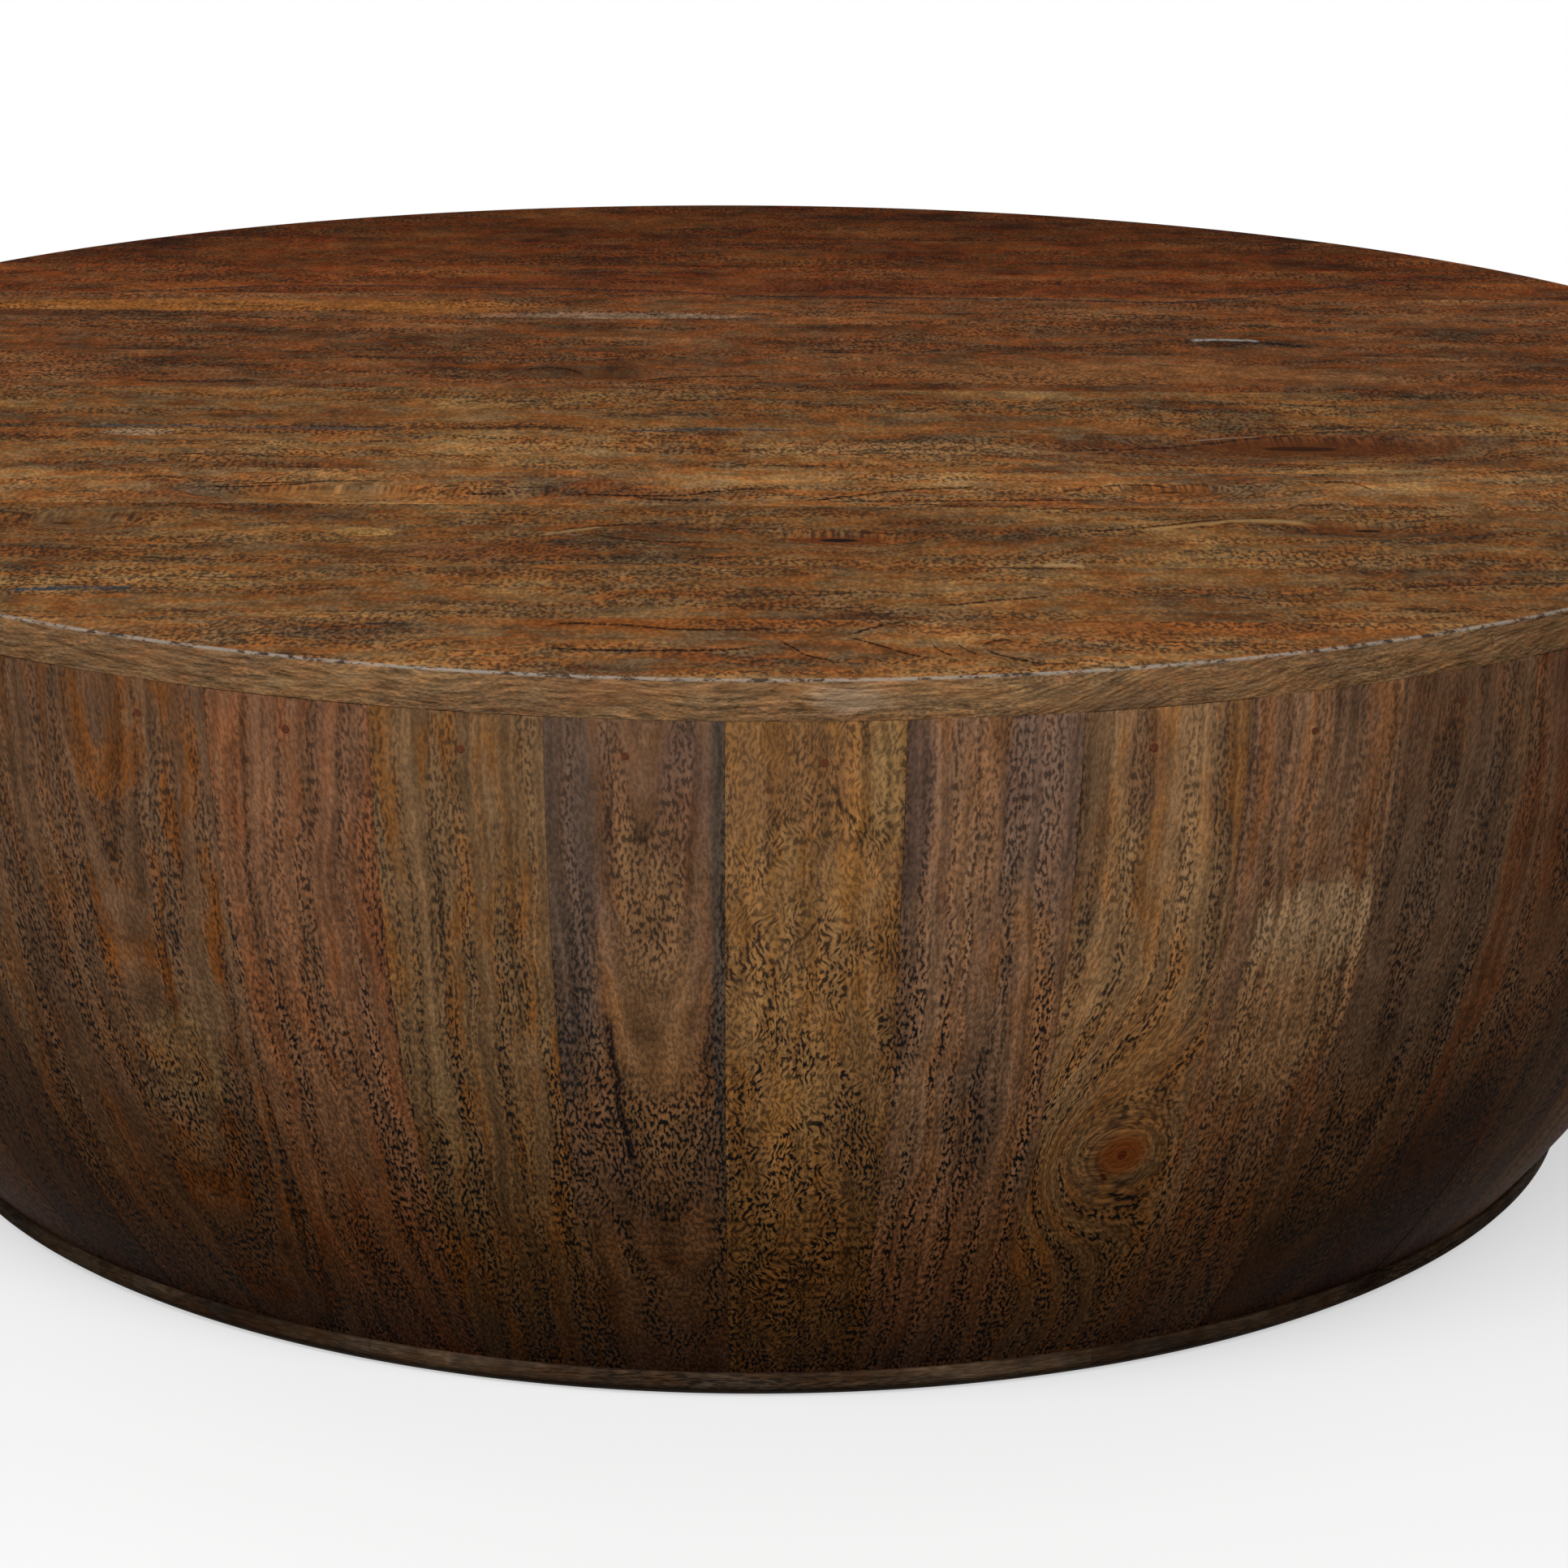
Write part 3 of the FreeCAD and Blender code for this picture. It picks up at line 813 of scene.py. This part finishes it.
def stave_wood(number):
    """Material of one stave: its stain and figure listed at the front, and by chance elsewhere."""
    chance = random.Random(500 + number)
    look = dict(STAVE_BROWN, seed=chance.uniform(-20, 20), slope=chance.uniform(-0.8, 0.8))
    stain = chance.choice(tuple(STAINS))
    look["pith"] = (chance.uniform(-0.08, 0.08), chance.uniform(-0.4, 0.0), chance.uniform(0.04, 0.16))
    own = STAVE_LOOKS.get(number, {})
    look.update(stain_tones(STAINS[own.get("stain", stain)]))
    look.update({name: value for name, value in own.items() if name != "stain"})
    material = new_material("stave_wood_%02d" % number)
    across, depth, along = Socket.node("ShaderNodeAttribute", out=1, attribute_name="plank").apart()
    share = (along - length_at(0.0)) / (length_at(STAVE_TOP) - length_at(0.0))
    look["pores"] = (PORES_AT_FOOT - share * PORES_LOST) * look["pores"]
    look["fibres"] = (FIBRES_AT_FOOT - share * FIBRES_LOST) * look["fibres"]
    colour, relief = figured_wood(across, depth, along, look)
    # Painted shade with some dirt towards the foot, and a painted sheen at the head, multiplied into the
    # stave's colour.
    shade_sheen_and_wear = [Socket.node("ShaderNodeFloatCurve", {"Value": share}, curve=curve) for curve in STAVE_SHADE_SHEEN_AND_WEAR]
    painted_light_and_wear = Socket.node("ShaderNodeVectorMath", {0: colour, 1: point(*shade_sheen_and_wear)}, operation="MULTIPLY")
    colour = shade(painted_light_and_wear, SHADE_SHEEN_AND_WEAR_LEVEL)
    finish_material(satin(colour, relief))
    return material


jobs = []
for number in range(1, STAVES + 1):
    chance = random.Random(900 + number)
    inputs = {
        "Azimuth": FIRST_SEAM + (number - 0.5) * STAVE_PITCH,
        "Set Out": chance.uniform(*STAVE_SET_OUT),
        "Wood": stave_wood(number),
    }
    jobs.append(("shell_%02d" % number, bpy.data.meshes.new("base"), inputs))
for number, stave in enumerate(grow(stave_tree(), jobs), 1):
    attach(stave, "root")
    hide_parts("stave_%02d" % number)


# Foot band: eight short pieces of dark straight-grained wood bent round the foot in a rebate, nailed
# once into each stave. The upper edge stands a little proud and the lower one is bevelled under.
BAND_FACE = 0.4663
BAND_BACK = 0.455
BAND_BEVEL = 0.0078
BAND_BEVEL_HEIGHT = 0.0075
BAND_ROUND = 0.0008
BAND_SEGMENTS = 8
BAND_STEPS = 60
BAND_JOINT = FIRST_SEAM - 3 * STAVE_PITCH
BAND_GAP = math.radians(0.012)
# Painted shade: band pieces 2, on the right, and 8, on the left, are darker than the rest because of how the
# light falls on them.
BAND_SHADE_TONES = {2: 0.74, 8: 0.72}
BAND_NAIL_HEIGHT = 0.0098
BAND_NAIL_RISE = 0.0008
BAND_NAIL_ASIDE = 0.9
BAND_HOLE_RADIUS = 0.002
BAND_HOLE_DEPTH = 0.0022
DRILL_LENGTH = 0.006
DRILL_SIDES = 20
SEEN_BAND_NAILS = {46: -19.3, 47: -12.0, 48: -5.2, 1: 2.3, 3: 18.15, 4: 26.1}


def stave_centre(number):
    """Azimuth of a stave's middle, in degrees."""
    return math.degrees(FIRST_SEAM + (number - 0.5) * STAVE_PITCH)


chance = random.Random(31)
band_nail_places = []
for number in range(1, STAVES + 1):
    drawn = stave_centre(number) + chance.uniform(-BAND_NAIL_ASIDE, BAND_NAIL_ASIDE)
    azimuth = SEEN_BAND_NAILS.get(number, drawn)
    height = BAND_NAIL_HEIGHT + chance.uniform(-BAND_NAIL_RISE, BAND_NAIL_RISE)
    band_nail_places.append((BAND_FACE - BAND_HOLE_DEPTH, azimuth, height))


def band_section():
    """(radius, height) points round the band's section, from its inner foot to its inner top."""
    section = [(BAND_BACK, 0.0), (BAND_FACE - BAND_BEVEL, 0.0)]
    for share in (0.25, 0.5, 0.75, 1.0):
        inset = BAND_BEVEL * (1 - math.sin(share * math.pi / 2))
        section.append((BAND_FACE - inset, BAND_BEVEL_HEIGHT * share))
    for i in range(4):
        turn = math.pi / 2 * i / 3
        drop = BAND_ROUND * (1 - math.sin(turn))
        section.append((BAND_FACE - BAND_ROUND * (1 - math.cos(turn)), STAVE_FOOT - drop))
    section.append((BAND_BACK, STAVE_FOOT))
    return section


def band_wood(number):
    chance = random.Random(700 + number)
    look = dict(
        BROWN, seed=chance.uniform(-20, 20), tone=BAND_SHADE_TONES.get(number, 0.94), slope=1.0,
        bend=0.006, curl=0.002, ripple=0.0008, zones=60.0, lines=0.9, dashes=1100.0, dash_run=160.0,
        pore=tint("1c1714"), **stain_tones("33261d 54402f 705a46 52341f 4a4139"),
    )
    material = new_material("band_wood_%d" % number)
    x, y, z = place_on_object()
    radius = (x * x + y * y) ** 0.5
    colour, relief = figured_wood(z, radius, x.maths("ARCTAN2", -y) * BAND_FACE, look)
    finish_material(satin(colour, relief, 0.52))
    return material


def drill(piece, places):
    """Cuts the nail holes into a piece of the band, and frees it of the modifier."""
    rim = []
    for radius, azimuth, height in places:
        turn = math.radians(azimuth)
        out = Vector((math.sin(turn), -math.cos(turn), 0))
        side = Vector((math.cos(turn), math.sin(turn), 0))
        for reach in (radius, radius + DRILL_LENGTH):
            for i in range(DRILL_SIDES):
                lean = math.tau * i / DRILL_SIDES
                up = Vector((0, 0, height + BAND_HOLE_RADIUS * math.sin(lean)))
                rim.append(out * reach + side * BAND_HOLE_RADIUS * math.cos(lean) + up)
    faces = []
    for first in range(0, len(rim), 2 * DRILL_SIDES):
        faces.append([first + i for i in range(DRILL_SIDES)])
        faces.append([first + DRILL_SIDES + i for i in reversed(range(DRILL_SIDES))])
        for i in range(DRILL_SIDES):
            a, b = first + i, first + (i + 1) % DRILL_SIDES
            faces.append((a, a + DRILL_SIDES, b + DRILL_SIDES, b))
    mesh = bpy.data.meshes.new("drill")
    mesh.from_pydata(rim, [], faces)
    bit = add("drill", mesh)
    cut = piece.modifiers.new("drill", "BOOLEAN")
    cut.operation = "DIFFERENCE"
    cut.object = bit
    bpy.context.view_layer.update()
    graph = bpy.context.evaluated_depsgraph_get()
    drilled = bpy.data.meshes.new_from_object(piece.evaluated_get(graph), depsgraph=graph)
    piece.modifiers.clear()
    bpy.data.objects.remove(bit)
    drilled.name = piece.name
    drilled.shade_smooth()
    drilled.set_sharp_from_angle(angle=math.radians(SHARP))
    piece.data = drilled


for number in range(1, BAND_SEGMENTS + 1):
    start = BAND_JOINT + (number - 1) * 2 * math.pi / BAND_SEGMENTS + BAND_GAP
    end = BAND_JOINT + number * 2 * math.pi / BAND_SEGMENTS - BAND_GAP
    loops = []
    for i in range(BAND_STEPS + 1):
        turn = start + (end - start) * i / BAND_STEPS
        loops.append([(r * math.sin(turn), -r * math.cos(turn), z) for r, z in band_section()])
    band = loft("band_%d" % number, loops)
    band.data.materials.append(band_wood(number))
    middle = math.degrees(start + end) / 2
    reach = 180 / BAND_SEGMENTS
    own = [place for place in band_nail_places if abs((place[1] - middle + 180) % 360 - 180) < reach]
    drill(band, own)
    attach(band, "root")
    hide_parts("foot_band")


# Nails: one in each stave near its head, sunk and stopped with red-brown filler, and one through the
# band into each foot, sunk in its hole and left dark. None is exactly in line with the next.
STAVE_NAIL_HEIGHT = 0.368
NAIL_RISE = 0.003
NAIL_ASIDE = 0.7
FILLER_RADIUS = 0.0021
SEEN_STAVE_NAILS = {47: 0.25, 48: -0.35, 1: 0.35, 2: 0.75, 3: -0.65, 4: -0.65, 5: -0.55}


def nail_tree():
    """Tree that sets a low round plug on every point of its mesh, facing out of the shell."""
    inputs = {
        "Radius": (FLOAT, FILLER_RADIUS),
        "Proud": (FLOAT, 0.0001),
        "Sunk": (FLOAT, 0.0008),
        "Tilt": (FLOAT, 0.0),
        "Seed": ("NodeSocketInt", 4),
        "Finish": (MATERIAL, None),
    }
    tree, take = open_tree("nail", inputs)
    values = {
        "Vertices": 20, "Side Segments": 2, "Fill Segments": 2, "Radius Top": take["Radius"] * 0.86,
        "Radius Bottom": take["Radius"], "Depth": take["Sunk"] + take["Proud"],
    }
    plug = Socket.node("GeometryNodeMeshCone", values, fill_type="TRIANGLE_FAN")
    values = {"Geometry": plug, "Translation": point(0.0, 0.0, -take["Sunk"])}
    plug = Socket.node("GeometryNodeTransform", values)
    x, y, _ = Socket.node("GeometryNodeInputPosition").apart()
    lean = take["Tilt"].maths("COSINE") / (x * x + y * y) ** 0.5
    out = point(x * lean, y * lean, -take["Tilt"].maths("SINE"))
    facing = Socket.node("FunctionNodeAlignRotationToVector", {"Vector": out}, axis="Z")
    values = {2: 0.9, 3: 1.1, "Seed": take["Seed"]}
    size = Socket.node("FunctionNodeRandomValue", values, out=1, data_type="FLOAT")
    scale = point(size, size, 1.0)
    values = {"Points": take["Geometry"], "Instance": plug, "Rotation": facing, "Scale": scale}
    plugs = Socket.node("GeometryNodeInstanceOnPoints", values)
    whole = Socket.node("GeometryNodeRealizeInstances", {0: plugs})
    values = {"Geometry": whole, "Material": take["Finish"]}
    close_tree(tree, Socket.node("GeometryNodeSetMaterial", values))
    return tree


def spots(places):
    """Loose points at (radius, azimuth in degrees, height)."""
    mesh = bpy.data.meshes.new("spots")
    points = [(r * math.sin(math.radians(az)), -r * math.cos(math.radians(az)), z) for r, az, z in places]
    mesh.from_pydata(points, [], [])
    return mesh


def mottled(name, dark, light, metal, roughness):
    """Small parts: two tones in soft specks, with a rough face."""
    material = new_material(name)
    x, y, z = place_on_object()
    specks = noise(x * 900.0, y * 900.0, z * 900.0, 2.0, 0.6)
    values = {
        "Base Color": mix(tint(dark), tint(light), specks.step(0.35, 0.65)),
        "Metallic": metal,
        "Roughness": roughness + specks * 0.2,
        "Specular IOR Level": 0.1,
        "Normal": Socket.node("ShaderNodeBump", {"Height": specks, "Distance": 0.0001}),
    }
    finish_material(Socket.node("ShaderNodeBsdfPrincipled", values))
    return material


chance = random.Random(48)
filler_places = []
for number in range(1, STAVES + 1):
    aside = SEEN_STAVE_NAILS.get(number, chance.uniform(-NAIL_ASIDE, NAIL_ASIDE))
    height = STAVE_NAIL_HEIGHT + chance.uniform(-NAIL_RISE, NAIL_RISE)
    radius = CURVE_RADIUS + math.sqrt(CURVE**2 - (CURVE_HEIGHT - height) ** 2)
    filler_places.append((radius, stave_centre(number) + aside, height))
tilt = math.asin((CURVE_HEIGHT - STAVE_NAIL_HEIGHT) / CURVE)
filler = mottled("nail_filler", "54301f", "6e3c28", 0.0, 0.6)
steel = mottled("nail_steel", "17130f", "2c2723", 0.5, 0.55)
in_band = {"Radius": BAND_HOLE_RADIUS * 0.9, "Proud": 0.0003, "Finish": steel}
fillers, band_nails = grow(nail_tree(), [
    ("stave_nail_fillers", spots(filler_places), {"Tilt": tilt, "Finish": filler}),
    ("band_nails", spots(band_nail_places), in_band),
])
for piece, slot in ((fillers, "stave_wood"), (band_nails, "band_wood")):
    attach(piece, "root")


# Inner frame: two rings, each of eight pieces sawn from boards, and two battens under the top. All are
# left bare from the saw, and keep the shapes of their solids.
def frame_wood(name, ring):
    look = dict(
        BROWN, seed=3.0, slope=0.6, bend=0.02, veins=0.3, pores=0.4, lines=0.5, greyness=0.2,
        pore=tint("4e3a28"), **stain_tones("86643f a88358 c09c70 a8763f 9a8464"),
    )
    material = new_material(name)
    x, y, z = place_on_object()
    if ring:
        across, depth, along = (x * x + y * y) ** 0.5, z, x.maths("ARCTAN2", -y) * STAVE_FOOT_RADIUS
    else:
        across, depth, along = x, z, y
    colour, relief = figured_wood(across, depth, along, look)
    finish_material(satin(colour, relief, 0.72, 0.1))
    return material


ring_wood = frame_wood("ring_wood", True)
batten_wood = frame_wood("batten_wood", False)
frame_finish = {
    "top_ring": ring_wood, "base_ring": ring_wood, "batten_left": batten_wood, "batten_right": batten_wood,
}
for node, material in frame_finish.items():
    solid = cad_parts[node]
    solid.data.materials.clear()
    solid.data.materials.append(material)


# Studio: a pale floor that keeps the table's shadow, one wide softbox high in front, two low fills
# behind and an even world. The floor is white to the camera, and dark to light that bounces off it.
FLOOR_REACH = 20.0
floor_mesh = bpy.data.meshes.new("floor")
corners = [(FLOOR_REACH * x, FLOOR_REACH * y, 0) for x, y in ((-1, -1), (1, -1), (1, 1), (-1, 1))]
floor_mesh.from_pydata(corners, [], [(0, 1, 2, 3)])
floor = add("floor", floor_mesh)
floor_material = new_material("studio_floor")
rays = Socket.node("ShaderNodeLightPath").link.node.outputs
seen = Socket(rays["Is Camera Ray"]) + Socket(rays["Is Glossy Ray"]) + Socket(rays["Is Transmission Ray"])
x, y, z = place_on_object()
afar = ((x * x + y * y) ** 0.5).step(0.5, 1.5)
plain = Socket.node("ShaderNodeBsdfDiffuse", {"Color": tint("f4f4f4")})
white = Socket.node("ShaderNodeEmission", {"Strength": 1.0})
shown = Socket.node("ShaderNodeMixShader", {0: 0.55 + afar * 0.45, 1: plain, 2: white})
dim = Socket.node("ShaderNodeBsdfDiffuse", {"Color": tint("202020")})
finish_material(Socket.node("ShaderNodeMixShader", {0: seen.maths("MINIMUM", 1.0), 1: dim, 2: shown}))
floor_mesh.materials.append(floor_material)

for name, place, target, size, energy in (
    ("softbox", (-0.35, -2.25, 2.25), (0.0, -0.2, 0.3), (3.0, 1.0), 88),
    ("fill_left", (-2.3, 2.2, 0.75), (0.0, 0.0, 0.2), (1.8, 1.0), 38),
    ("fill_right", (2.3, 2.2, 0.75), (0.0, 0.0, 0.2), (1.8, 1.0), 38),
):
    lamp_data = bpy.data.lights.new(name, "AREA")
    lamp_data.shape = "RECTANGLE"
    lamp_data.size, lamp_data.size_y = size
    lamp_data.energy = energy
    lamp = add(name, lamp_data)
    lamp.location = place
    lamp.rotation_euler = (Vector(target) - lamp.location).to_track_quat("-Z", "Y").to_euler()

world = bpy.data.worlds.new("studio")
world.use_nodes = True
world.node_tree.nodes["Background"].inputs["Color"].default_value = (1, 1, 1, 1)
world.node_tree.nodes["Background"].inputs["Strength"].default_value = 0.14
bpy.context.scene.world = world
bpy.context.scene.view_settings.view_transform = "Standard"
